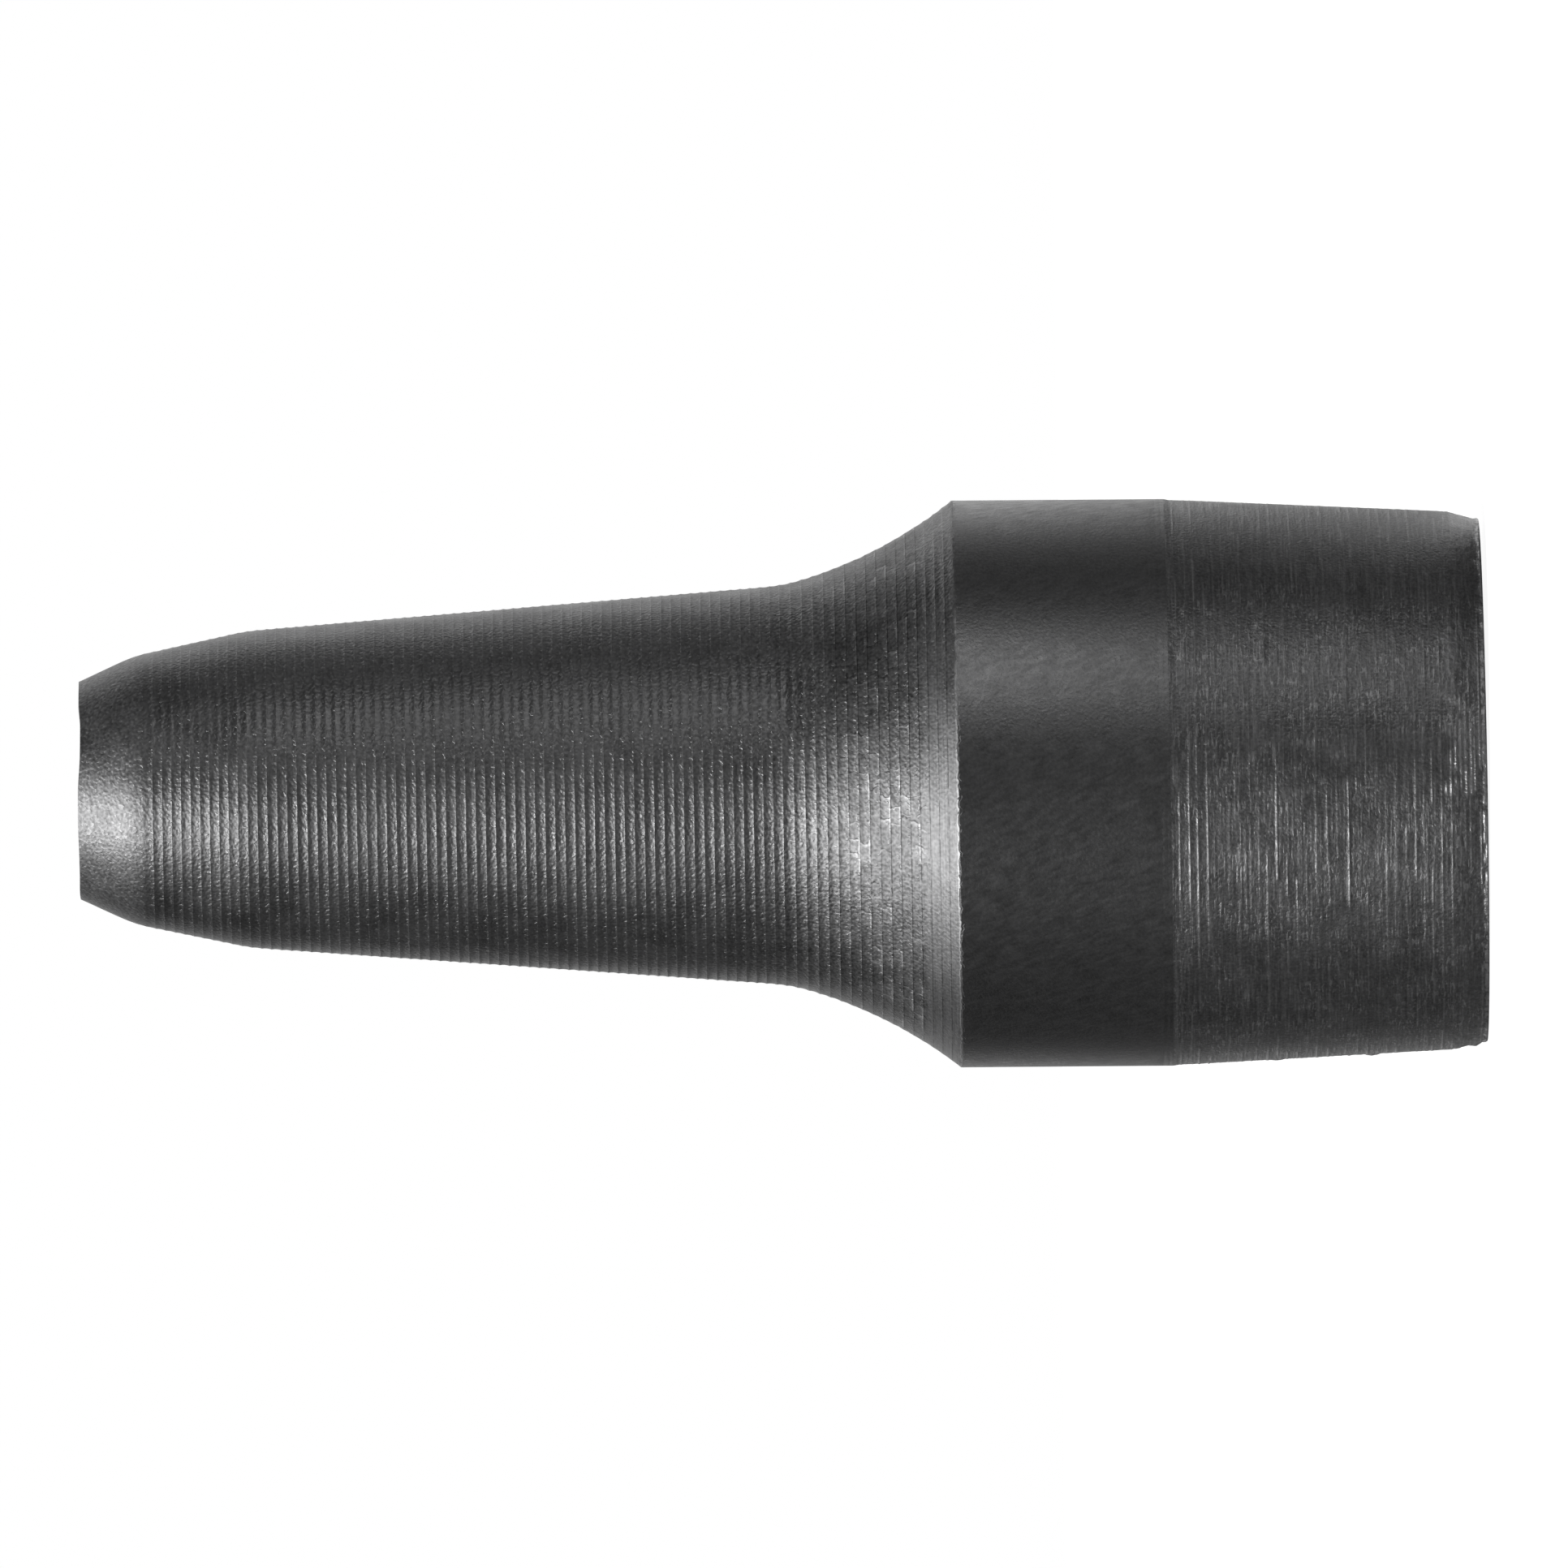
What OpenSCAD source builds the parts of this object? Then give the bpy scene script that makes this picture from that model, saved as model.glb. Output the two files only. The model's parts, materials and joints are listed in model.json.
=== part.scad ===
// Hollow punch for leather, card and soft plastic. A bored punch tube carries the cutting edge.
// A smooth collar and a self-holding taper shank are pressed onto the stem of the tube.
// It stands on its tail face at z = 0, with its axis along Z and the cutting edge up.

/* [Cutting edge] */
// Diameter of the hole that the punch cuts
cut_d = 3.5; // [2:0.1:5]
// Width of the flat on the cutting edge
edge_w = 0.17; // [0.05:0.01:0.3]
// Length of the steep ground bevel behind the edge
edge_l = 1; // [0.5:0.1:2]
// Angle of the steep bevel from the axis
edge_angle = 24.4; // [15:0.1:35]
// Length of the slimmer bevel behind it
bevel_l = 2; // [1:0.1:4]
// Angle of the slimmer bevel from the axis
bevel_angle = 12; // [6:0.1:20]

/* [Nose] */
// Length of the long tapered nose
nose_l = 9.4; // [5:0.1:15]
// Angle of the nose from the axis
nose_angle = 4.4; // [2:0.1:8]
// Length of the flared neck between nose and collar
flare_l = 3; // [2:0.05:4]
// Radius of the hollow curve of the neck
flare_r = 7.8; // [6:0.1:16]
// Length of the narrow rim that ends the neck
rim_l = 0.08; // [0.04:0.01:0.3]

/* [Bore] */
// Length of the straight bore behind the cutting edge
land_l = 2; // [1:0.1:3]
// Length over which the bore opens out behind the straight land
relief_l = 4; // [2:0.1:8]
// How much wider the slug bore is than the cut, on each side
relief_w = 0.5; // [0.2:0.05:0.8]
// Width of the chamfer at the tail mouth of the slug bore
mouth_w = 0.4; // [0.2:0.05:0.6]

/* [Collar and shank] */
// Diameter of the smooth collar
collar_d = 10; // [9:0.1:14]
// Length of the collar
collar_l = 3.7; // [2:0.1:8]
// Length of the taper shank
shank_l = 5.6; // [4:0.1:12]
// Taper of the shank, as length for each unit of diameter
shank_ratio = 10; // [8:0.5:20]
// Length of the lead-in at the tail end of the shank
lead_l = 0.55; // [0.2:0.05:1]
// Depth of the lead-in at the tail face
lead_w = 0.12; // [0.05:0.01:0.3]

/* [Stem] */
// Diameter of the stem that carries collar and shank
stem_d = 7; // [6.2:0.1:8]
// Radial gap of the fit on the stem
stem_gap = 0.01; // [0:0.005:0.03]
// Depth of the end of the stem inside the tail face
stem_recess = 0.25; // [0.1:0.05:1]

/* [Hidden] */
$fn = 180;
steel_turned = "#3a3a3b";
steel_drawn = "#2f2f30";
steel_rough = "#353535";
// What a cutting solid overshoots the face that it cuts
over = 1;

// Stations along the axis, from the tail face up
seat_z = shank_l + collar_l;
neck_z = seat_z + rim_l + flare_l;
bevel_z = neck_z + nose_l;
edge_z = bevel_z + bevel_l;
tip_z = edge_z + edge_l;
relief_z = tip_z - land_l;

// Radii, from the cut outwards
cut_r = cut_d / 2;
slug_r = cut_r + relief_w;
tip_r = cut_r + edge_w;
edge_r = tip_r + edge_l * tan(edge_angle);
bevel_r = edge_r + bevel_l * tan(bevel_angle);
neck_r = bevel_r + nose_l * tan(nose_angle);
collar_r = collar_d / 2;
stem_r = stem_d / 2;
seat_r = stem_r + stem_gap;
tail_r = collar_r - shank_l / shank_ratio / 2;
lead_r = collar_r - (shank_l - lead_l) / shank_ratio / 2;

// Centre of the circle of flare_r through the rim of the collar and the root of the nose
function flare_centre() =
    let (
        rim = [collar_r, seat_z + rim_l],
        root = [neck_r, neck_z],
        chord = root - rim,
        outward = [chord.y, -chord.x] / norm(chord),
        rise = sqrt(flare_r * flare_r - chord * chord / 4)
    )
    (rim + root) / 2 + rise * outward;

// Cone or cylinder between two stations
module turned(z1, r1, z2, r2) {
    translate([0, 0, z1])
        cylinder(h = z2 - z1, r1 = r1, r2 = r2);
}

// Neck that sweeps from the nose out to the rim of the collar
module flared_neck() {
    rotate_extrude()
        difference() {
            translate([0, seat_z])
                square([collar_r, rim_l + flare_l]);
            translate(flare_centre())
                circle(r = flare_r);
        }
}

// Straight land, relief cone, slug bore and tail chamfer
module slug_bore() {
    turned(relief_z - relief_l, slug_r, relief_z, cut_r);
    turned(relief_z, cut_r, tip_z + over, cut_r);
    turned(stem_recess - over, slug_r, relief_z - relief_l, slug_r);
    turned(stem_recess, slug_r + mouth_w, stem_recess + mouth_w, slug_r);
}

module punch_tube() {
    color(steel_turned)
        difference() {
            union() {
                turned(stem_recess, stem_r, seat_z, stem_r);
                flared_neck();
                turned(neck_z, neck_r, bevel_z, bevel_r);
                turned(bevel_z, bevel_r, edge_z, edge_r);
                turned(edge_z, edge_r, tip_z, tip_r);
            }
            slug_bore();
        }
}

module collar() {
    color(steel_drawn)
        difference() {
            turned(shank_l, collar_r, seat_z, collar_r);
            turned(shank_l - over, seat_r, seat_z + over, seat_r);
        }
}

module taper_shank() {
    color(steel_rough)
        difference() {
            union() {
                turned(0, tail_r - lead_w, lead_l, lead_r);
                turned(lead_l, lead_r, shank_l, collar_r);
            }
            turned(-over, seat_r, shank_l + over, seat_r);
        }
}

punch_tube();
collar();
taper_shank();
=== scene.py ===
import json
import math
import random

import bpy
from mathutils import Matrix, Vector, noise


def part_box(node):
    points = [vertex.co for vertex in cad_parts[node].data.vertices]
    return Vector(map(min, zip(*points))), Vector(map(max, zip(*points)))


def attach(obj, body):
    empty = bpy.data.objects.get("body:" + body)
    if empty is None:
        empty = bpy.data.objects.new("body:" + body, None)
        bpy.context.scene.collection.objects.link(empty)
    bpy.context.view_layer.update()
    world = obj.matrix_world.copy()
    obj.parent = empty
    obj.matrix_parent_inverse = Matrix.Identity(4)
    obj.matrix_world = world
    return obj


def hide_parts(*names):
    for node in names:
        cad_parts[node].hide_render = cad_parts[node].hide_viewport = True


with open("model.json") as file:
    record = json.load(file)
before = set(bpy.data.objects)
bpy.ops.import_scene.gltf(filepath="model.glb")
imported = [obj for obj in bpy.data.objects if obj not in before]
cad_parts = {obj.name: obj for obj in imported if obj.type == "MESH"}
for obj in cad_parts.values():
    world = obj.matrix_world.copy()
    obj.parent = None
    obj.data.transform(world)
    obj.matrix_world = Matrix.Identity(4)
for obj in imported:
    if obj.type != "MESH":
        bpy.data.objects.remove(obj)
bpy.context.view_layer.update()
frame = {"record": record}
mounts = {m["name"]: m for m in frame["record"]["mounts"]}
mm = 0.001
near = 0.001            # two values closer than this count as the same
mergeGap = 0.0001

# Ends of the three pieces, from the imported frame, in millimetres
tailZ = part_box("taper_shank")[0].z / mm
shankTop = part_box("taper_shank")[1].z / mm
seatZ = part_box("collar")[1].z / mm
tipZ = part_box("punch_tube")[1].z / mm
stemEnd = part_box("punch_tube")[0].z / mm
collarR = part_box("punch_tube")[1].x / mm
cutR = mounts["cutting_bore"]["dims"]["r_mm"]
slugR = mounts["slug_bore"]["dims"]["r_mm"]
taperRatio = 10         # length of the shank for each unit of diameter
tailEdgeR = collarR - shankTop / taperRatio / 2
lineLean = math.tan(math.radians(0.6))
straightFrom = 20.0     # the lines stop leaning from here to the tip
print("frame loaded, the punch is %.2f mm long" % (tipZ - tailZ))


# Modelling helpers, with sizes in millimetres

def deselectAll():
    if bpy.context.mode != "OBJECT":
        bpy.ops.object.mode_set(mode="OBJECT")
    bpy.ops.object.select_all(action="DESELECT")


def startSection(name, r, z):
    # a plane merged to its middle is the first point of the section
    deselectAll()
    bpy.ops.mesh.primitive_plane_add(size=mm)
    piece = bpy.context.object
    piece.name = name
    piece.data.name = name
    bpy.ops.object.mode_set(mode="EDIT")
    bpy.ops.mesh.select_all(action="SELECT")
    bpy.ops.mesh.merge(type="CENTER")
    bpy.ops.transform.translate(value=(r * mm, 0, z * mm))
    return piece, [r, z]


def lineTo(pen, r, z, steps=1):
    # draws the section on from its last point, in equal steps
    step = ((r - pen[0]) * mm / steps, 0, (z - pen[1]) * mm / steps)
    for _ in range(steps):
        bpy.ops.mesh.extrude_region_move(TRANSFORM_OT_translate={"value": step})
    pen[:] = [r, z]


def arcTo(pen, r, z, centre, steps):
    # swings the last point round a centre that lies beside the section
    turn = turnBetween(centre, pen, (r, z))
    bpy.ops.mesh.spin(steps=steps, angle=turn, axis=(0, 1, 0),
                      center=(centre[0] * mm, 0, centre[1] * mm))
    pen[:] = [r, z]


def turnBetween(centre, first, last):
    start = math.atan2(first[1] - centre[1], first[0] - centre[0])
    end = math.atan2(last[1] - centre[1], last[0] - centre[0])
    return (end - start + math.pi) % (2 * math.pi) - math.pi


def turnSection(segments):
    # closes the section and spins it round the axis of the punch
    bpy.ops.mesh.select_all(action="SELECT")
    bpy.ops.mesh.remove_doubles(threshold=mergeGap * mm)
    bpy.ops.mesh.select_all(action="SELECT")
    bpy.ops.mesh.spin(steps=segments, angle=2 * math.pi, center=(0, 0, 0), axis=(0, 0, 1))
    bpy.ops.mesh.select_all(action="SELECT")
    bpy.ops.mesh.remove_doubles(threshold=mergeGap * mm)
    bpy.ops.mesh.normals_make_consistent(inside=False)
    bpy.ops.object.mode_set(mode="OBJECT")
    bpy.ops.object.shade_smooth_by_angle(angle=math.radians(30))


def polar(point):
    return math.atan2(point.y, point.x), math.hypot(point.x, point.y) / mm, point.z / mm


def setPolar(vertex, angle, r, z):
    vertex.co = (r * mm * math.cos(angle), r * mm * math.sin(angle), z * mm)


def ringNoise(angle, r, z, grain, seed=0.0):
    # noise that closes on itself round the axis
    x = r * math.cos(angle) / grain
    y = r * math.sin(angle) / grain
    return noise.noise(Vector((x, y, z / grain + seed)))


def smoothStep(low, high, value):
    share = min(max((value - low) / (high - low), 0.0), 1.0)
    return share * share * (3 - 2 * share)


def leanLines(piece):
    # the feed winds round like a thread, so the lines lean a little, and the tail is cut to match
    for vertex in piece.data.vertices:
        x = vertex.co.x / mm
        z = vertex.co.z / mm
        share = 1 - smoothStep(straightFrom, tipZ, z)
        lift = tailEdgeR * (1 - smoothStep(0.0, shankTop, z))
        vertex.co.z += lineLean * (x * share + lift) * mm
    piece.data.update()


# Punch tube

tube = {
    "segments": 250,
    "edgeFlat": 0.17,       # flat on the cutting edge
    "edgeLength": 1.0,      # ground bevel
    "edgeAngle": 24.4,
    "bevelLength": 2.0,     # slimmer bevel
    "bevelAngle": 12.0,
    "noseLength": 9.4,
    "noseAngle": 4.4,
    "neckAngle": 13.8,      # slope of the neck's curve at its root
    "flareRadius": 7.8,
    "landLength": 2.0,
    "reliefLength": 4.0,
    "mouthChamfer": 0.4,
    "stemRadius": 3.5,
    "rimLength": 0.025,     # height over the collar at which the neck's circle meets its radius
    "lipHeight": 0.007,     # how far inside that radius the curve stops
    "lipLength": 0.024,     # length of the lip between the curve and the collar
    "lipDip": 0.0075,       # how far inside the radius the lip begins
    "lipInset": 0.005,      # and ends
    "undercut": 0.05,       # width of the lip's lower face
    "lipCuts": 3,           # more segments on the lip alone
    "cornerReach": 0.3,     # half length of the rounding at each corner
    "bevelRidges": 12,      # turns of the tool on each stretch
    "noseRidges": 54,
    "flareRidges": 17,
    "ringsPerRidge": 4,
    "edgeRings": 14,
    "ridgeDepth": 0.0106,
    "bevelShare": 0.8,      # how deep they are on the bevel
    "neckShare": 1.2,       # and where the neck begins
    "crestNoise": 0.001,
    "crestWander": 0.0052,  # how far a crest strays along the axis
    "tornLoss": (0.35, 0.7),     # share of the depth that tearing takes, and what noise adds
    "wipedLoss": 0.7,
    "tornFrom": 6,          # ridges of the neck that stay whole
    "smoothLast": 3.4,      # ridges beside the collar that are wiped smooth
    "wipedFrom": (42.0, 74.0),   # but only away from +X: where that begins and is full, in degrees
    "plateStep": 0.004,
    "platesPerRadian": 14,
    "burr": 0.065,
    "burrLeast": 0.04,      # share of the burr that is left at its gaps
    "burrMean": 0.3,
    "burrFine": 0.9,        # strength of its finer teeth
    "burrBend": 0.2,        # share by which it bends inwards
    "burrFade": 0.4,        # what it loses up to the end of the curve
    "burrRidge": 0.95,      # part of a ridge that it counts as, which sets the burr's painted highlight
    "edgeWobble": 0.025,
    # chipped stretch of the edge: middle and half width in degrees, and depth
    "chip": (-62.0, 30.0, 0.036),
}


def tubeStations(t):
    tipR = cutR + t["edgeFlat"]
    edgeZ = tipZ - t["edgeLength"]
    edgeR = tipR + t["edgeLength"] * math.tan(math.radians(t["edgeAngle"]))
    bevelZ = edgeZ - t["bevelLength"]
    bevelR = edgeR + t["bevelLength"] * math.tan(math.radians(t["bevelAngle"]))
    neckZ = bevelZ - t["noseLength"]
    neckR = bevelR + t["noseLength"] * math.tan(math.radians(t["noseAngle"]))
    return {"tip": (tipR, tipZ), "edge": (edgeR, edgeZ), "bevel": (bevelR, bevelZ),
            "neck": (neckR, neckZ), "shoulder": (collarR, seatZ + t["rimLength"])}


def flareCentre(at, radius):
    root = Vector(at["neck"])
    shoulder = Vector(at["shoulder"])
    chord = root - shoulder
    outward = Vector((chord.y, -chord.x)).normalized()
    return (root + shoulder) / 2 + outward * math.sqrt(radius ** 2 - chord.length_squared / 4)


def flareEnd(t, centre):
    # where the curve of the neck stops, just short of the collar's radius
    r = collarR - t["lipHeight"]
    return r, centre.y - math.sqrt(t["flareRadius"] ** 2 - (centre.x - r) ** 2)


def makeTube(t, at, centre):
    piece, pen = startSection("punchTube", *at["tip"])
    lineTo(pen, *at["edge"], steps=t["edgeRings"])
    lineTo(pen, *at["bevel"], steps=t["bevelRidges"] * t["ringsPerRidge"])
    lineTo(pen, *at["neck"], steps=t["noseRidges"] * t["ringsPerRidge"])
    arcTo(pen, *at["rim"], centre, steps=t["flareRidges"] * t["ringsPerRidge"])
    lineTo(pen, collarR - t["lipDip"], seatZ + t["lipLength"])
    lineTo(pen, collarR - t["lipInset"], seatZ, steps=2)
    lineTo(pen, collarR - t["undercut"], seatZ)
    lineTo(pen, t["stemRadius"], seatZ)
    lineTo(pen, t["stemRadius"], stemEnd, steps=2)
    lineTo(pen, slugR + t["mouthChamfer"], stemEnd)
    lineTo(pen, slugR, stemEnd + t["mouthChamfer"])
    reliefTop = tipZ - t["landLength"]
    lineTo(pen, slugR, reliefTop - t["reliefLength"], steps=6)
    lineTo(pen, cutR, reliefTop, steps=4)
    lineTo(pen, cutR, tipZ, steps=4)
    lineTo(pen, *at["tip"], steps=2)
    turnSection(t["segments"])
    refineLip(piece, t, at)
    return piece


def refineLip(piece, t, at):
    # cuts the rings of the lip into shorter segments
    mesh = piece.data
    bpy.ops.object.mode_set(mode="EDIT")
    bpy.ops.mesh.select_mode(type="EDGE")
    bpy.ops.mesh.select_all(action="DESELECT")
    bpy.ops.object.mode_set(mode="OBJECT")
    for edge in mesh.edges:
        r, z = polar(mesh.vertices[edge.vertices[0]].co)[1:]
        otherR, otherZ = polar(mesh.vertices[edge.vertices[1]].co)[1:]
        level = abs(r - otherR) < near and abs(z - otherZ) < near
        edge.select = level and r > collarR - t["undercut"] - near and z < at["rim"][1] + near
    bpy.ops.object.mode_set(mode="EDIT")
    bpy.ops.mesh.subdivide(number_cuts=t["lipCuts"])
    bpy.ops.mesh.select_mode(type="VERT")
    bpy.ops.object.mode_set(mode="OBJECT")


def ridgeNumber(t, at, centre, r, z):
    # which turn of the tool passed here, counted from the ground bevel
    if z >= at["bevel"][1]:
        return (at["edge"][1] - z) / t["bevelLength"] * t["bevelRidges"]
    if z >= at["neck"][1]:
        return t["bevelRidges"] + (at["bevel"][1] - z) / t["noseLength"] * t["noseRidges"]
    gone = turnBetween(centre, at["neck"], (r, z)) / turnBetween(centre, at["neck"], at["rim"])
    return t["bevelRidges"] + t["noseRidges"] + gone * t["flareRidges"]


def outOfSurface(t, at, centre, r, z):
    # direction out of the turned surface, as a pair along r and z
    if z > at["edge"][1]:
        slope = t["edgeAngle"]
    elif z > at["bevel"][1]:
        slope = t["bevelAngle"]
    elif z > at["neck"][1]:
        slope = t["noseAngle"]
    else:
        towards = Vector((centre[0] - r, centre[1] - z)).normalized()
        return towards.x, towards.y
    return math.cos(math.radians(slope)), math.sin(math.radians(slope))


def cutRidges(piece, t, at, centre):
    # the round nose of the tool leaves a hollow at each turn, and a sharp crest between two
    mesh = piece.data
    random.seed(11)
    total = t["bevelRidges"] + t["noseRidges"] + t["flareRidges"]
    tornStart = t["bevelRidges"] + t["noseRidges"] + t["tornFrom"]
    depthOf = [t["ridgeDepth"] * random.uniform(0.86, 1.12) for _ in range(total + 2)]
    for turn in range(t["bevelRidges"]):
        depthOf[turn] *= t["bevelShare"]
    for turn in range(tornStart - t["tornFrom"], tornStart):
        depthOf[turn] *= t["neckShare"]
    ridgeAt = mesh.attributes.new("ridge", "FLOAT", "POINT")
    tornAt = mesh.attributes.new("torn", "FLOAT", "POINT")
    wipedAt = mesh.attributes.new("wiped", "FLOAT", "POINT")
    crests = set()
    for vertex in mesh.vertices:
        angle, r, z = polar(vertex.co)
        if z > tipZ - near and r < at["tip"][0] - 0.01:
            setPolar(vertex, angle, r, z - edgeLoss(t, angle, r))
        if not onOutside(t, at, r, z):
            continue
        outR, outZ = outOfSurface(t, at, centre, r, z)
        if z > at["edge"][1] + near:
            depth = t["crestNoise"] * (1 + ringNoise(angle, r, z, 0.12, 3.0))
            depth += roundCorner(t, at, z)
            sink = smoothStep(at["edge"][1], tipZ, z) ** 2 * edgeLoss(t, angle, r)
            setPolar(vertex, angle, r - depth * outR, z - depth * outZ - sink)
            continue
        count = ridgeNumber(t, at, centre, r, z)
        whole = math.floor(count + near)
        phase = max(count - whole, 0.0)
        if phase < 0.02 and whole > 1:
            crests.add(vertex.index)
        wiped = smoothStep(total - t["smoothLast"] - 0.6, total - t["smoothLast"] + 0.4, count)
        torn = smoothStep(tornStart - 5, tornStart + 3, count) * (1 - wiped)
        wiped *= wipedSide(t, angle)
        ridgeAt.data[vertex.index].value = count
        tornAt.data[vertex.index].value = torn
        wipedAt.data[vertex.index].value = wiped
        depth = depthOf[whole] * 4 * phase * (1 - phase) * smoothStep(-1.5, 3, count)
        leastLost, moreLost = t["tornLoss"]
        lost = leastLost + moreLost * max(ringNoise(angle, r, z * 2, 0.5, 31.0), 0.0)
        depth *= (1 - torn * min(lost, 1.0)) * (1 - t["wipedLoss"] * wiped)
        depth += t["crestNoise"] * (1 + ringNoise(angle, r, z, 0.16, 3.0)) + roundCorner(t, at, z)
        if torn > 0:
            # the shifts set the plates of one ridge apart from those of the next
            along = angle * t["platesPerRadian"] + whole * 7.7
            plate = noise.cell(Vector((along, whole * 3.1, 0.5)))
            depth += torn * t["plateStep"] * plate * (0.3 + phase)
        wander = t["crestWander"] * (1 - wiped) * ringNoise(angle, r, z, 0.22, 17.0)
        place = min(z - depth * outZ + wander, at["edge"][1] + 0.005)
        setPolar(vertex, angle, r - depth * outR, place)
    for edge in mesh.edges:
        if edge.vertices[0] in crests and edge.vertices[1] in crests:
            edge.use_edge_sharp = True
    mesh.update()


def wipedSide(t, angle):
    # share of the wiping and of the burr's painted highlight, none on the side of +X
    return smoothStep(*t["wipedFrom"], abs(math.degrees(angle)))


def roundCorner(t, at, z):
    # depth of the rounding at the two corners behind the edge, and of the filling at the neck
    reach = t["cornerReach"]
    slopes = (t["edgeAngle"], t["bevelAngle"], t["noseAngle"], t["neckAngle"])
    depth = 0.0
    for name, before, after in zip(("edge", "bevel", "neck"), slopes, slopes[1:]):
        corner = at[name][1]
        turn = before - after
        gap = max(reach - abs(z - corner), 0.0)
        depth += gap * gap * math.tan(math.radians(turn / 2)) / (2 * reach)
    return depth


def edgeLoss(t, angle, r):
    # wear of the cutting edge along the axis, deeper at the chip
    middle, half, depth = t["chip"]
    away = abs(math.degrees(angle) - middle) / half
    chip = depth * (1 - smoothStep(0.3, 1.0, away))
    return chip + t["edgeWobble"] * (0.5 + 0.5 * ringNoise(angle, r, 0, 0.8, 5.0))


def onOutside(t, at, r, z):
    # the turned outside, without bore, stem and seat
    if z < at["rim"][1] - near:
        return False
    if z > at["bevel"][1]:
        return r > cutR + t["edgeFlat"] - 0.01
    return r > slugR + 0.05


def raiseBurr(piece, t, at):
    # ragged lip that the tool pushed over the edge of the collar
    mesh = piece.data
    total = t["bevelRidges"] + t["noseRidges"] + t["flareRidges"]
    lip = set()
    for vertex in mesh.vertices:
        angle, r, z = polar(vertex.co)
        if r < collarR - t["lipDip"] - near or z > at["rim"][1] + 0.005:
            continue
        share = 1 - t["burrFade"] * min(max(z - seatZ, 0.0) / t["lipLength"], 1.0)
        teeth = t["burrFine"] * ringNoise(angle, r, 0, 0.09, 6.0)
        ragged = max(t["burrMean"] + ringNoise(angle, r, 0, 0.3, 2.0) + teeth, t["burrLeast"])
        bent = t["burrBend"] * max(ringNoise(angle, r, 0, 0.12, 9.0), 0.0)
        setPolar(vertex, angle, r - share * t["burr"] * bent, z - share * t["burr"] * ragged)
        # the ridge value on the lip sets the burr's painted highlight, none on the side of +X
        burrGlintShare = t["burrRidge"] * share * wipedSide(t, angle)
        mesh.attributes["ridge"].data[vertex.index].value = total + burrGlintShare
        mesh.attributes["wiped"].data[vertex.index].value = 1.0
        if share > 0.9:
            lip.add(vertex.index)
    for edge in mesh.edges:
        if edge.vertices[0] in lip and edge.vertices[1] in lip:
            edge.use_edge_sharp = True
    mesh.update()


print("modelling the punch tube")
tubeAt = tubeStations(tube)
neckCentre = flareCentre(tubeAt, tube["flareRadius"])
tubeAt["rim"] = flareEnd(tube, neckCentre)
punchTube = makeTube(tube, tubeAt, neckCentre)
cutRidges(punchTube, tube, tubeAt, neckCentre)
raiseBurr(punchTube, tube, tubeAt)
leanLines(punchTube)


# Collar

band = {
    "segments": 256,
    "shrink": 0.006,        # the burr of the neck stands over the band
    "rings": 20,
    "bore": 3.51,
    "startLines": (0.16, 0.06),   # fine lines where the shank's feed begins
    "lineDepth": 0.0011,
    "lineWidth": 0.014,
}


def makeBand(b):
    r = collarR - b["shrink"]
    piece, pen = startSection("smoothCollar", b["bore"], seatZ)
    lineTo(pen, r, seatZ)
    for place, steps in zip(b["startLines"], (b["rings"], 1)):
        lineTo(pen, r, shankTop + place + b["lineWidth"], steps=steps)
        lineTo(pen, r - b["lineDepth"], shankTop + place)
        lineTo(pen, r, shankTop + place - b["lineWidth"])
    lineTo(pen, r, shankTop)
    lineTo(pen, b["bore"], shankTop)
    lineTo(pen, b["bore"], seatZ)
    turnSection(b["segments"])
    return piece


print("modelling the collar")
smoothCollar = makeBand(band)
leanLines(smoothCollar)


# Taper shank

shank = {
    "segments": 470,
    "bore": 3.51,
    "leadLength": 0.55,
    "leadDepth": 0.12,
    "rings": 174,
    "leadRings": 18,
    "faceRings": 10,
    "ringsPerTurn": 6,      # rings for one turn of the tool
    "groove": 0.0025,       # depth of the hollow between two lines
    "lineHeight": 0.0128,   # torn lines that stand up
    "lineMost": 1.6,        # the tallest, as a share of that
    "lineLength": 1.5,
    "weakLength": 0.5,
    "weakLines": 0.75,      # share of the rings between them with a weak line
    "pits": 0.003,
    "leadRough": 0.016,     # coarse tears on the lead-in
    # worn bright stretch of the lead-in: middle and half width in degrees
    "scrape": (-83.0, 14.0),
    "scrapeRings": 3,       # every third ring there has dashes
    "scrapeHeight": 2.5,
    "rimWorn": 0.8,
    "frontWorn": 0.24,      # wear of the lead-in round the side in the photograph
    "front": -92,           # its middle, in degrees
    "beadTop": 0.07,        # beads on the rim of the tail
    "beadHeight": 1.4,
    "plainTop": 0.4,        # share of the lines that is left on the side of +X
    "faceRough": 0.006,     # noise and rings on the tail face
    "faceWave": 0.004,
    # long lines beside the collar: ring and length
    "startRings": ((2, 2.5), (5, 1.8)),
    # lumps on the outline: degrees, place and height
    "lumps": ((180, 2.05, 0.03), (180, 3.75, 0.02), (178, 0.2, 0.05)),
    "lumpSize": (7, 0.16),  # half width in degrees, half length
}


def makeShank(s):
    top = collarR - band["shrink"]
    leadR = collarR - (shankTop - s["leadLength"]) / taperRatio / 2
    piece, pen = startSection("taperShank", s["bore"], shankTop)
    lineTo(pen, top, shankTop)
    lineTo(pen, leadR, s["leadLength"], steps=s["rings"])
    lineTo(pen, tailEdgeR - s["leadDepth"], tailZ, steps=s["leadRings"])
    lineTo(pen, s["bore"], tailZ, steps=s["faceRings"])
    lineTo(pen, s["bore"], shankTop)
    turnSection(s["segments"])
    return piece


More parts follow.
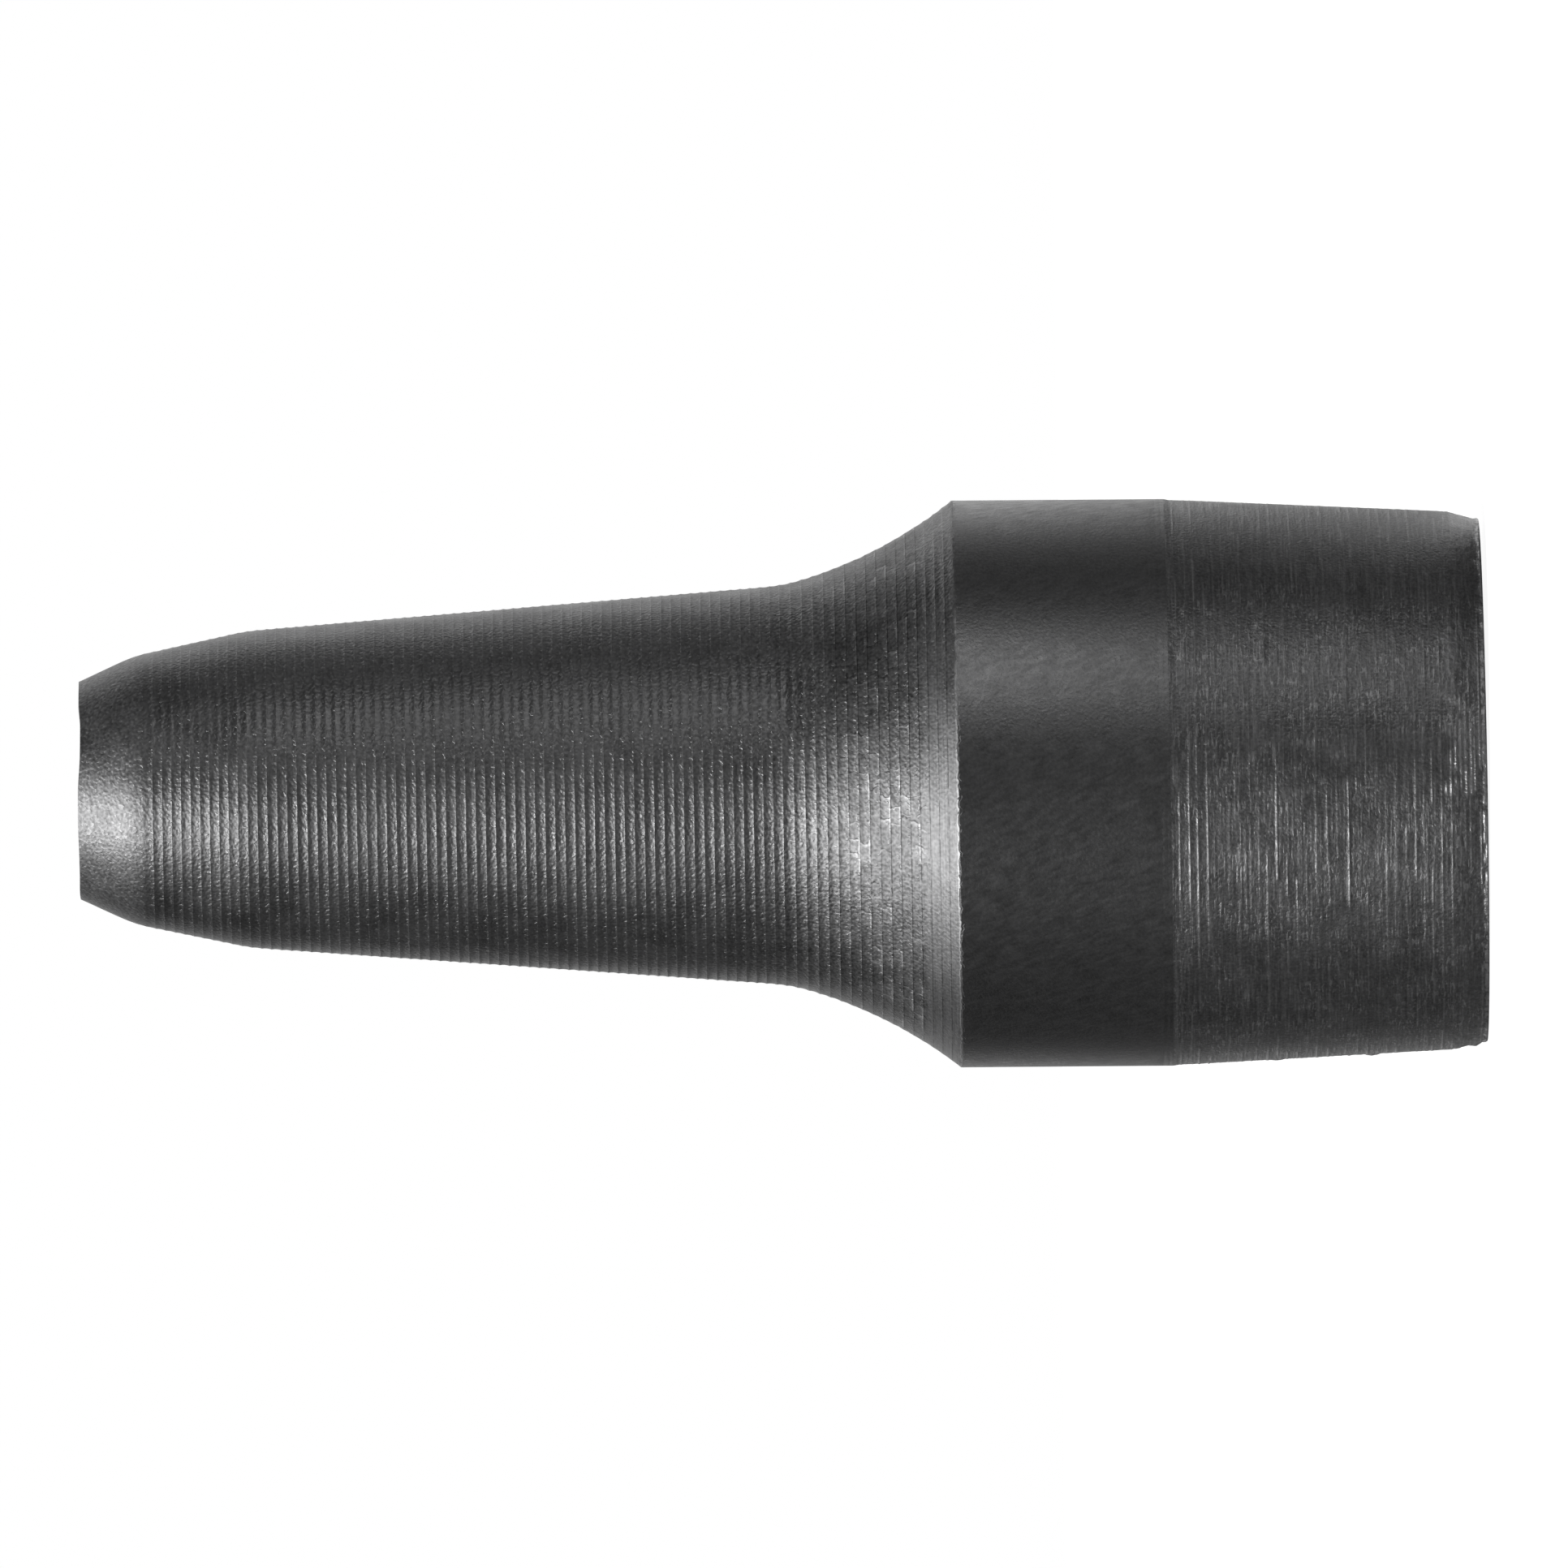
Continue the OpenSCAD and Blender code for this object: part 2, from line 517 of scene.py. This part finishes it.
def drawLines(s):
    # strength and place round the shank of the line on each ring
    random.seed(23)
    lines = []
    crest = 0
    for ring in range(s["rings"] + s["leadRings"] + 2):
        if ring >= crest:
            strength = random.uniform(0.5, 1.0)
            length = s["lineLength"] * random.uniform(0.6, 1.4)
            crest += s["ringsPerTurn"] + random.choice((-1, 0, 0, 0, 1))
        elif random.random() < s["weakLines"]:
            strength = random.uniform(0.12, 0.5)
            length = s["weakLength"] * random.uniform(0.6, 2.0)
        else:
            strength = 0.0
        lines.append((strength, length, random.uniform(0, 90)))
    for ring, length in s["startRings"]:
        lines[ring] = (0.7, length, lines[ring][2])
    return lines


def lumpAt(s, angle, z):
    # torn lumps that show on the outline
    height = 0.0
    width, length = s["lumpSize"]
    for degrees, place, top in s["lumps"]:
        turn = (math.degrees(angle) - degrees + 180) % 360 - 180
        away = math.hypot(turn / width, (z - place) / length)
        height += top * (1 - smoothStep(0.0, 1.0, away))
    return height


def wornShare(s, angle, r, z):
    # the oxide is gone from the rim of the tail, and from a scraped stretch of the lead-in
    if z > 1.0:
        return 0.0
    middle, half = s["scrape"]
    away = abs(math.degrees(angle) - middle) / half
    ragged = ringNoise(angle, r, z, 0.2, 21.0)
    scraped = 1 - smoothStep(0.3, 1.0, away + 0.4 * ragged)
    scraped *= 1 - smoothStep(0.4, 0.8, z + 0.2 * ragged)
    rim = 1 - smoothStep(0.02, 0.11, z + 0.12 * ragged)
    lead = 1 - smoothStep(0.35, 0.65, z + 0.2 * ragged)
    front = 1 - smoothStep(25, 45, abs(math.degrees(angle) - s["front"]))
    return max(scraped, s["rimWorn"] * rim, s["frontWorn"] * lead * front)


def tearSurface(piece, s):
    # torn lines run round the shank in broken lengths, between shallow feed grooves
    mesh = piece.data
    step = (shankTop - s["leadLength"]) / s["rings"]
    lines = drawLines(s)
    raised = set()
    lineAt = mesh.attributes.new("line", "FLOAT", "POINT")
    wornAt = mesh.attributes.new("worn", "FLOAT", "POINT")
    for vertex in mesh.vertices:
        angle, r, z = polar(vertex.co)
        if r < s["bore"] + 0.05 or z > shankTop - near:
            continue
        if z < tailZ + near:
            if r < tailEdgeR - s["leadDepth"] - 0.01:
                rough = s["faceRough"] * (1 + ringNoise(angle, r, 0, 0.35, 1.0))
                rough += s["faceWave"] * (1 + math.sin(r * 18))
                setPolar(vertex, angle, r, z + rough)
            continue
        ring = int(round((shankTop - z) / step))
        turn = (shankTop - z) / step / s["ringsPerTurn"] % 1
        depth = s["lineHeight"] * (1 - 0.5 * smoothStep(0.1, 0.5, shankTop - z))
        depth += s["groove"] * 4 * turn * (1 - turn)
        strength, length, offset = lines[ring]
        wave = ringNoise(angle, r, 0, length, offset)
        grit = 0.75 + 0.7 * ringNoise(angle, r, z, 0.15, 7.0)
        height = strength * smoothStep(-0.1, 0.06, wave) * grit
        away = smoothStep(25, 55, abs(math.degrees(angle)))
        height *= s["plainTop"] + (1 - s["plainTop"]) * away
        worn = wornShare(s, angle, r, z)
        if worn > 0.25 and ring % s["scrapeRings"] == 0:
            dash = smoothStep(-0.3, 0.1, ringNoise(angle, r, 0, 0.12, ring * 3.7))
            height = max(height, s["scrapeHeight"] * worn * dash)
        if z < s["beadTop"]:
            bead = smoothStep(-0.1, 0.2, ringNoise(angle, r, 0, 0.09, 5.5))
            height = max(height, s["beadHeight"] * bead)
        if height > 0.05:
            raised.add(vertex.index)
            lineAt.data[vertex.index].value = height
        depth -= s["lineHeight"] * min(height, s["lineMost"])
        depth += s["pits"] * smoothStep(0.4, 0.75, ringNoise(angle, r, z, 0.12, 4.0))
        lead = 1 - smoothStep(s["leadLength"] - 0.1, s["leadLength"] + 0.3, z)
        depth += lead * s["leadRough"] * (0.5 + 0.5 * ringNoise(angle, r, z * 1.6, 0.13, 12.0))
        wornAt.data[vertex.index].value = worn
        depth = depth * smoothStep(0.0, 0.12, shankTop - z) - lumpAt(s, angle, z)
        setPolar(vertex, angle, r - depth, z)
    for edge in mesh.edges:
        a, b = edge.vertices
        if a in raised and b in raised:
            if abs(mesh.vertices[a].co.z - mesh.vertices[b].co.z) < step * mm / 2:
                edge.use_edge_sharp = True
    mesh.update()


print("modelling the taper shank")
taperShank = makeShank(shank)
tearSurface(taperShank, shank)
leanLines(taperShank)


# Black oxide finishes

def addNode(tree, kind, **inputs):
    node = tree.nodes.new(kind)
    for name, value in inputs.items():
        if isinstance(value, bpy.types.NodeSocket):
            tree.links.new(value, node.inputs[name])
        else:
            node.inputs[name].default_value = value
    return node


def mathNode(tree, operation, a, b=0.0, clamp=False):
    node = tree.nodes.new("ShaderNodeMath")
    node.operation = operation
    node.use_clamp = clamp
    for socket, value in zip(node.inputs, (a, b)):
        if isinstance(value, bpy.types.NodeSocket):
            tree.links.new(value, socket)
        else:
            socket.default_value = value
    return node.outputs[0]


def times(tree, a, b):
    return mathNode(tree, "MULTIPLY", a, b)


def rest(tree, value, clamp=False):
    return mathNode(tree, "SUBTRACT", 1.0, value, clamp)


def centred(tree, value):
    # noise, counted from its middle
    return mathNode(tree, "SUBTRACT", value, 0.5)


def plus(tree, first, *others):
    total = first
    for other in others:
        total = mathNode(tree, "ADD", total, other)
    return total


def fade(tree, value, low, high, start=0.0, end=1.0):
    # smooth step from start to end while the value goes from low to high
    node = tree.nodes.new("ShaderNodeMapRange")
    node.interpolation_type = "SMOOTHSTEP"
    tree.links.new(value, node.inputs["Value"])
    node.inputs["From Min"].default_value = low
    node.inputs["From Max"].default_value = high
    node.inputs["To Min"].default_value = start
    node.inputs["To Max"].default_value = end
    return node.outputs["Result"]


def grey(tree, value, low, high, dark, light):
    node = tree.nodes.new("ShaderNodeValToRGB")
    tree.links.new(value, node.inputs[0])
    for element, place, shade in zip(node.color_ramp.elements, (low, high), (dark, light)):
        element.position = place
        element.color = (shade, shade, shade * 1.01, 1)
    return node.outputs["Color"]


def attribute(tree, name):
    node = addNode(tree, "ShaderNodeAttribute")
    node.attribute_name = name
    return node.outputs["Fac"]


def surfacePlace(tree):
    # place in millimetres, height along the axis and angle round it
    coord = addNode(tree, "ShaderNodeTexCoord")
    scale = addNode(tree, "ShaderNodeMapping", Vector=coord.outputs["Object"])
    scale.inputs["Scale"].default_value = (1 / mm, 1 / mm, 1 / mm)
    split = addNode(tree, "ShaderNodeSeparateXYZ", Vector=scale.outputs["Vector"])
    angle = mathNode(tree, "ARCTAN2", split.outputs["Y"], split.outputs["X"])
    return scale.outputs["Vector"], split.outputs["Z"], angle


def roughNoise(tree, where, scale, detail):
    node = addNode(tree, "ShaderNodeTexNoise", Vector=where, Scale=scale, Detail=detail)
    return node.outputs[0]


def streakNoise(tree, across, acrossScale, along, alongScale):
    return roughNoise(tree, flatPlace(tree, across, acrossScale, along, alongScale), 1.0, 2.0)


def flatPlace(tree, across, acrossScale, along, alongScale):
    place = addNode(tree, "ShaderNodeCombineXYZ")
    tree.links.new(times(tree, across, acrossScale), place.inputs["X"])
    tree.links.new(times(tree, along, alongScale), place.inputs["Y"])
    return place.outputs[0]


def newFinish(name):
    material = bpy.data.materials.new(name)
    material.use_nodes = True
    shader = material.node_tree.nodes["Principled BSDF"]
    shader.inputs["Metallic"].default_value = 1.0
    return material, material.node_tree, shader


def blend(tree, middle, weights, **parts):
    # sum of the parts, each times its weight
    total = middle
    for name, part in parts.items():
        total = plus(tree, total, times(tree, part, weights[name]))
    return total


def connect(tree, shader, f, shade, rough, height):
    # shade runs from 0 to 1, and height is in millimetres
    tree.links.new(grey(tree, shade, 0.0, 1.0, f["dark"], f["light"]), shader.inputs["Base Color"])
    tree.links.new(rough, shader.inputs["Roughness"])
    bump = addNode(tree, "ShaderNodeBump", Height=height, Distance=mm, Strength=1.0)
    tree.links.new(bump.outputs[0], shader.inputs["Normal"])


turnedFinish = {
    "ridges": tube["bevelRidges"] + tube["noseRidges"] + tube["flareRidges"],
    "neckRidge": tube["bevelRidges"] + tube["noseRidges"],
    "dark": 0.05, "light": 0.33, "mean": 0.3, "roughLow": 0.42, "roughHigh": 0.5,
    "roughNeck": 0.04, "roughGround": 0.04,
    "grain": 18.0, "groundHeight": 0.0066, "ridgeHeight": 0.0094, "speck": 17.0,
    "platesPerRadian": 12.0, "crackWidth": 0.05, "seamWidth": 0.16,
    "neckGrain": 0.1, "neckTone": 0.9, "groundTone": 0.8,
    # several shade weights paint light: the dark bands past the crests and in the cracks are painted
    # shade, the bright plate lips and edges and part of the burr are painted highlights
    "shade": {
        "mottle": 0.2, "coarse": 0.4, "speck": 0.2, "lip": 0.5, "crack": -0.28, "seam": -0.33,
        "edge": 0.4, "torn": -0.06, "smooth": 0.4, "ground": 0.08, "wiped": 0.05, "crest": 0.11,
        "plates": 0.18, "burr": 0.4,
    },
    "height": {"grain": 1.0, "tilt": 0.004, "crack": -0.0016, "smooth": 0.001, "speck": 0.0046},
}


def turnedBlack(f):
    material, tree, shader = newFinish("turnedBlack")
    where, _, angle = surfacePlace(tree)
    ridge = attribute(tree, "ridge")
    torn = attribute(tree, "torn")
    wiped = attribute(tree, "wiped")
    grain = roughNoise(tree, where, f["grain"], 0.5)
    mottle = roughNoise(tree, where, 1.4, 4.0)
    calm = plus(tree, times(tree, wiped, -0.5), times(tree, torn, -0.2), 1.0)
    neck = fade(tree, ridge, f["neckRidge"] - 10, f["neckRidge"] + 4)
    beside = mathNode(tree, "FRACT", ridge)
    # bright specks, all over the ground bevel but only by the crests of the ridges
    ground = fade(tree, ridge, 0.0, 1.0, 1.0, 0.0)
    hollow = times(tree, fade(tree, ridge, 0.0, 1.0), fade(tree, beside, 0.35, 0.8, 1.0, 0.0))
    speck = fade(tree, roughNoise(tree, where, f["speck"], 0.0), 0.58, 0.7)
    speck = times(tree, speck, rest(tree, hollow))
    speck = times(tree, speck, rest(tree, times(tree, wiped, 0.7)))
    # plates that cracks part on each ridge of the neck, at random places
    row = mathNode(tree, "FLOOR", ridge)
    chance = addNode(tree, "ShaderNodeTexWhiteNoise")
    chance.noise_dimensions = "1D"
    tree.links.new(row, chance.inputs["W"])
    place = plus(tree, times(tree, angle, f["platesPerRadian"]),
                 times(tree, chance.outputs["Value"], 60.0),
                 times(tree, roughNoise(tree, where, 6.0, 1.0), 0.7))
    gap = ringCells(tree, place, "DISTANCE_TO_EDGE").outputs["Distance"]
    plate = ringCells(tree, place, "F1")
    tone = plate.outputs["Color"]
    upper = mathNode(tree, "GREATER_THAN", place, plate.outputs["W"])
    # they show most in a few clumps
    clump = fade(tree, roughNoise(tree, where, 0.9, 1.0), 0.38, 0.58, 0.2, 1.0)
    clump = times(tree, clump, torn)
    # the cracks also darken the colour: painted shade in the gaps between plates
    crack = times(tree, fade(tree, gap, 0.0, f["crackWidth"], 1.0, 0.0), clump)
    crack = times(tree, crack, fade(tree, roughNoise(tree, where, 2.5, 1.0), 0.3, 0.5))
    # the upper edges of some plates stand up, and a painted highlight makes them shine
    edge = times(tree, fade(tree, gap, 0.03, 0.08), fade(tree, gap, 0.12, 0.22, 1.0, 0.0))
    edge = times(tree, times(tree, edge, upper), times(tree, fade(tree, tone, 0.45, 0.65), clump))
    tilt = times(tree, times(tree, tone, beside), clump)
    # painted highlight: the part of some plates just before the crest, which faces the light, is made
    # brighter
    lip = times(tree, times(tree, fade(tree, beside, 0.78, 0.92), fade(tree, tone, 0.5, 0.7)), clump)
    # the burr beside the collar is worn bright, and its brightness is also a painted highlight, kept
    # off the side of +X
    burr = fade(tree, ridge, f["ridges"] + 0.02, f["ridges"] + 0.4)
    # painted shade: a dark band just past each crest, on the side of the ridge that faces away from
    # the light
    seam = fade(tree, beside, 0.0, f["seamWidth"], 1.0, 0.0)
    seam = times(tree, seam, plus(tree, torn, wiped))
    seam = times(tree, seam, fade(tree, ridge, f["ridges"] - 0.4, f["ridges"] - 0.2, 1.0, 0.0))
    seam = times(tree, seam, fade(tree, roughNoise(tree, where, 3.5, 1.0), 0.3, 0.5))
    streak = streakNoise(tree, ridge, 6.0, angle, 3.0)
    smooth = times(tree, centred(tree, streak), wiped)
    coarse = times(tree, centred(tree, grain), calm)
    tones = plus(tree, times(tree, neck, f["neckTone"]), times(tree, ground, f["groundTone"]), 1.0)
    coarse = times(tree, coarse, tones)
    # the crests of whole ridges are rubbed bright
    crest = fade(tree, beside, 0.8, 0.95)
    crest = times(tree, crest, fade(tree, ridge, 1.0, 2.0))
    crest = times(tree, crest, rest(tree, plus(tree, torn, wiped), clamp=True))
    shade = blend(tree, f["mean"], f["shade"], mottle=centred(tree, mottle), coarse=coarse,
                  speck=speck, lip=lip, crack=crack, seam=seam, edge=edge, torn=torn,
                  smooth=smooth, ground=ground, wiped=wiped, crest=crest,
                  plates=times(tree, clump, tone), burr=burr)
    rise = fade(tree, ridge, 0.0, 1.5, f["groundHeight"], f["ridgeHeight"])
    rise = times(tree, times(tree, rise, calm), plus(tree, times(tree, neck, f["neckGrain"]), 1.0))
    lower = plus(tree, times(tree, ground, -0.6), 1.0)
    height = blend(tree, 0.0, f["height"], grain=times(tree, grain, rise), tilt=tilt, crack=crack,
                   smooth=smooth, speck=times(tree, speck, lower))
    rough = fade(tree, mottle, 0.3, 0.7, f["roughLow"], f["roughHigh"])
    rough = plus(tree, rough, times(tree, plus(tree, torn, wiped), f["roughNeck"]))
    rough = plus(tree, rough, fade(tree, ridge, 0.0, 2.0, f["roughGround"], 0.0))
    connect(tree, shader, f, shade, rough, height)
    return material


def ringCells(tree, place, feature):
    cells = addNode(tree, "ShaderNodeTexVoronoi")
    cells.voronoi_dimensions = "1D"
    cells.feature = feature
    cells.inputs["Scale"].default_value = 1.0
    tree.links.new(place, cells.inputs["W"])
    return cells


drawnFinish = {
    "dark": 0.05, "light": 0.33, "mean": 0.26, "roughLow": 0.355, "roughHigh": 0.395,
    "roughTail": 0.035, "roughRub": 0.2, "grain": 18.0, "rubSlant": 0.45,
    "shade": {"mottle": 0.07, "grain": 0.32, "streak": 0.05, "rub": 0.1, "tail": -0.035},
    "height": {"grain": 0.005, "streak": 0.001},
}


def drawnBlack(f):
    material, tree, shader = newFinish("drawnBlack")
    where, along, angle = surfacePlace(tree)
    grain = roughNoise(tree, where, f["grain"], 3.0)
    mottle = roughNoise(tree, where, 3.5, 4.0)
    streak = streakNoise(tree, along, 14.0, angle, 5.0)
    # faint rubbed streaks that run askew to the axis
    around = times(tree, angle, collarR)
    across = plus(tree, around, times(tree, along, f["rubSlant"]))
    down = plus(tree, along, times(tree, around, -f["rubSlant"]))
    rub = centred(tree, streakNoise(tree, across, 9.0, down, 2.5))
    height = blend(tree, 0.0, f["height"], grain=centred(tree, grain), streak=centred(tree, streak))
    # the colour darkens towards the shank, a painted shade that dims the highlight at that end
    shade = blend(tree, f["mean"], f["shade"], mottle=centred(tree, mottle),
                  grain=centred(tree, grain), streak=centred(tree, streak), rub=rub,
                  tail=fade(tree, along, shankTop, seatZ, 1.0, 0.0))
    rough = fade(tree, mottle, 0.3, 0.7, f["roughLow"], f["roughHigh"])
    rough = plus(tree, rough, fade(tree, along, shankTop, seatZ, f["roughTail"], 0.0))
    rough = plus(tree, rough, times(tree, rub, f["roughRub"]))
    connect(tree, shader, f, shade, rough, height)
    return material


tornFinish = {
    "dark": 0.05, "light": 0.33, "mean": 0.264, "roughLow": 0.41, "roughHigh": 0.49,
    "brushed": 0.5, "grain": 19.0, "grainHeight": 0.0075, "leadHeight": 0.008,
    "darkSide": 0.3,        # radians from the middle of the narrow side in shade to +X
    "shade": {
        "mottle": 0.25, "grain": 0.45, "streak": 0.2, "thin": 0.12, "speck": 0.28, "dash": 0.4,
        "smudge": -0.08, "line": 0.4, "worn": 0.27, "wornLine": 0.85,
    },
    "height": {"grain": 1.0, "streak": 0.003, "speck": 0.0015, "dash": 0.0015},
}


def tornBlack(f):
    material, tree, shader = newFinish("tornBlack")
    where, along, angle = surfacePlace(tree)
    line = attribute(tree, "line")
    worn = attribute(tree, "worn")
    grain = roughNoise(tree, where, f["grain"], 1.0)
    mottle = roughNoise(tree, where, 1.6, 4.0)
    streak = streakNoise(tree, along, 26.0, angle, 6.0)
    thin = fade(tree, streak, 0.58, 0.7)
    speckPlace = flatPlace(tree, along, 24.0, angle, 70.0)
    speck = fade(tree, roughNoise(tree, speckPlace, 1.0, 0.0), 0.6, 0.72)
    dashPlace = flatPlace(tree, along, 28.0, angle, 22.0)
    dash = fade(tree, roughNoise(tree, dashPlace, 1.0, 0.0), 0.6, 0.7)
    # the oxide is rubbed off in clumps; the specks and dashes are also painted glints, kept off the
    # narrow side that lies in shade
    rubbedAndLit = fade(tree, roughNoise(tree, where, 1.8, 2.0), 0.38, 0.6, 0.2, 1.0)
    away = mathNode(tree, "ABSOLUTE", plus(tree, angle, f["darkSide"]))
    rubbedAndLit = times(tree, rubbedAndLit, fade(tree, away, 0.4, 0.6))
    speck = times(tree, speck, rubbedAndLit)
    dash = times(tree, dash, rubbedAndLit)
    smudge = fade(tree, streakNoise(tree, along, 5.0, angle, 7.0), 0.62, 0.74)
    shade = blend(tree, f["mean"], f["shade"], mottle=centred(tree, mottle),
                  grain=centred(tree, grain), streak=centred(tree, streak), thin=thin, speck=speck,
                  dash=dash, smudge=smudge, line=line, worn=worn, wornLine=times(tree, worn, line))
    rise = plus(tree, times(tree, worn, f["leadHeight"]), f["grainHeight"])
    height = blend(tree, 0.0, f["height"], grain=times(tree, grain, rise),
                   streak=centred(tree, streak), speck=speck, dash=dash)
    rough = fade(tree, mottle, 0.3, 0.7, f["roughLow"], f["roughHigh"])
    # the fine lines round the shank spread the light along its axis
    down = addNode(tree, "ShaderNodeCombineXYZ", Z=1.0)
    tree.links.new(down.outputs[0], shader.inputs["Tangent"])
    shader.inputs["Anisotropic"].default_value = f["brushed"]
    connect(tree, shader, f, shade, rough, height)
    return material


print("making the finishes")
punchTube.data.materials.append(turnedBlack(turnedFinish))
smoothCollar.data.materials.append(drawnBlack(drawnFinish))
taperShank.data.materials.append(tornBlack(tornFinish))

for piece, node in ((punchTube, "punch_tube"), (smoothCollar, "collar"), (taperShank, "taper_shank")):
    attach(piece, "root")
    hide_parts(node)


# Floor, light and camera

studio = {
    "floorSize": 2.0,
    "floorGlow": 0.92,      # near the punch, so that its shadow shows, and white further off
    "floorColour": 0.15,
    "diffuseFill": 0.35,
    "frontGlow": 0.09,      # what shines back from the room on each side
    "lowGlow": 0.02,
    "backGlow": 1.25,
    "footGlow": 1.1,        # on the floor beside the lead-in
    "leftGlow": 0.42,       # past the cutting edge, low in the picture
}


def makeFloor(s):
    deselectAll()
    bpy.ops.mesh.primitive_plane_add(size=s["floorSize"])
    floor = bpy.context.object
    floor.name = "floor"
    material = bpy.data.materials.new("paleFloor")
    material.use_nodes = True
    tree = material.node_tree
    shader = tree.nodes["Principled BSDF"]
    shader.inputs["Base Color"].default_value = [s["floorColour"]] * 3 + [1]
    shader.inputs["Roughness"].default_value = 0.9
    shader.inputs["Emission Color"].default_value = (1, 1, 1, 1)
    rays = addNode(tree, "ShaderNodeLightPath")
    coord = addNode(tree, "ShaderNodeTexCoord")
    split = addNode(tree, "ShaderNodeSeparateXYZ", Vector=coord.outputs["Object"])
    seen = plus(tree, rays.outputs["Is Camera Ray"], rays.outputs["Is Transmission Ray"])
    away = addNode(tree, "ShaderNodeVectorMath", Vector=coord.outputs["Object"])
    away.operation = "LENGTH"
    white = fade(tree, away.outputs["Value"], 0.06, 0.25, s["floorGlow"], 1.0)
    # in the steel it is white behind the punch and at its foot, and darker on the side of the camera
    behind = fade(tree, split.outputs["Y"], 0.02, 0.2, 0.0, s["backGlow"])
    behind = times(tree, behind, fade(tree, split.outputs["X"], -0.05, 0.1))
    foot = fade(tree, away.outputs["Value"], 0.006, 0.015, s["footGlow"], 0.0)
    foot = times(tree, foot, fade(tree, split.outputs["X"], 0.002, 0.004))
    foot = times(tree, foot, fade(tree, split.outputs["Y"], -0.0016, 0.0004))
    shown = times(tree, rays.outputs["Is Glossy Ray"], plus(tree, behind, foot))
    glow = plus(tree, times(tree, seen, white), shown)
    tree.links.new(glow, shader.inputs["Emission Strength"])
    floor.data.materials.append(material)


def makeWorld(s):
    world = bpy.data.worlds.new("studio")
    bpy.context.scene.world = world
    world.use_nodes = True
    tree = world.node_tree
    back = tree.nodes["Background"]
    rays = addNode(tree, "ShaderNodeLightPath")
    coord = addNode(tree, "ShaderNodeTexCoord")
    split = addNode(tree, "ShaderNodeSeparateXYZ", Vector=coord.outputs["Generated"])
    # the white backdrop behind the punch shines on it, the room in front of it less
    front = fade(tree, split.outputs["X"], -0.9, 0.2, s["lowGlow"], s["frontGlow"])
    behind = fade(tree, split.outputs["Y"], 0.34, 0.72)
    behind = times(tree, behind, fade(tree, split.outputs["X"], -0.2, 0.6, 0.03, 1.0))
    straight = fade(tree, split.outputs["Y"], 0.7, 0.95, 0.0, 0.78)
    behind = mathNode(tree, "MAXIMUM", behind, straight)
    left = fade(tree, split.outputs["Z"], 0.2, 0.9)
    left = times(tree, left, fade(tree, split.outputs["X"], -0.6, 0.2, 1.0, 0.0))
    glossy = plus(tree, front, times(tree, behind, s["backGlow"] - s["frontGlow"]),
                  times(tree, left, s["leftGlow"]))
    glossy = times(tree, glossy, rays.outputs["Is Glossy Ray"])
    seen = plus(tree, rays.outputs["Is Camera Ray"], rays.outputs["Is Transmission Ray"])
    fill = times(tree, rays.outputs["Is Diffuse Ray"], s["diffuseFill"])
    tree.links.new(plus(tree, glossy, seen, fill), back.inputs["Strength"])
    back.inputs["Color"].default_value = (1, 1, 1, 1)


keyLight = {"towards": (-0.34, -0.42, 0.84), "along": (0.393, 0.737, 0.551), "distance": 0.35,
            "size": (0.4, 0.22), "glow": 7.4}
# narrow strip across the axis, low over the floor, which shows on the smooth collar
topLight = {"towards": (0.725, -0.688, 0.008), "along": (0, 0, 1), "distance": 0.32,
            "size": (0.032, 0.18), "glow": 6.7}


def softLight(name, light):
    deselectAll()
    bpy.ops.object.light_add(type="AREA")
    lamp = bpy.context.object
    lamp.name = name
    lamp.data.shape = "RECTANGLE"
    lamp.data.size, lamp.data.size_y = light["size"]
    lamp.data.energy = light["glow"] * math.pi * light["size"][0] * light["size"][1]
    aim = Vector(light["towards"]).normalized()
    side = Vector(light["along"])
    side = (side - aim * side.dot(aim)).normalized()
    turned = Matrix((side, aim.cross(side), aim)).transposed()
    lamp.location = Vector((0, 0, tipZ * mm / 2)) + aim * light["distance"]
    lamp.rotation_euler = turned.to_euler()


view = {
    "distance": 0.65,
    "pixels": 1932,
    "lengthPixels": 1732.7,  # tip to tail in the photograph
    "tailPixel": 1830.3,
    "axisPixel": 968.1,
    "rise": 0.44,            # degrees that the axis climbs to the right
    "sensor": 36.0,
}


def makeCamera(v):
    deselectAll()
    bpy.ops.object.camera_add()
    camera = bpy.context.object
    pixel = (tipZ - tailZ) * mm / v["lengthPixels"]
    camera.data.sensor_width = v["sensor"]
    camera.data.lens = v["sensor"] * v["distance"] / (v["pixels"] * pixel)
    camera.data.clip_end = 10
    # the cutting edge points left, so the picture's right is down the axis
    turned = Matrix(((0, 1, 0), (0, 0, -1), (-1, 0, 0)))
    roll = Matrix.Rotation(math.radians(-v["rise"]), 3, "Z")
    middle = v["pixels"] / 2
    height = (v["tailPixel"] - middle) * pixel + tailZ * mm
    place = ((v["axisPixel"] - middle) * pixel, -v["distance"], height)
    camera.matrix_world = Matrix.Translation(place) @ (turned @ roll).to_4x4()
    bpy.context.scene.camera = camera


print("setting the floor, light and camera")
makeFloor(studio)
makeWorld(studio)
softLight("keyLight", keyLight)
softLight("topLight", topLight)
makeCamera(view)
bpy.context.scene.view_settings.view_transform = "Standard"

print("finished")
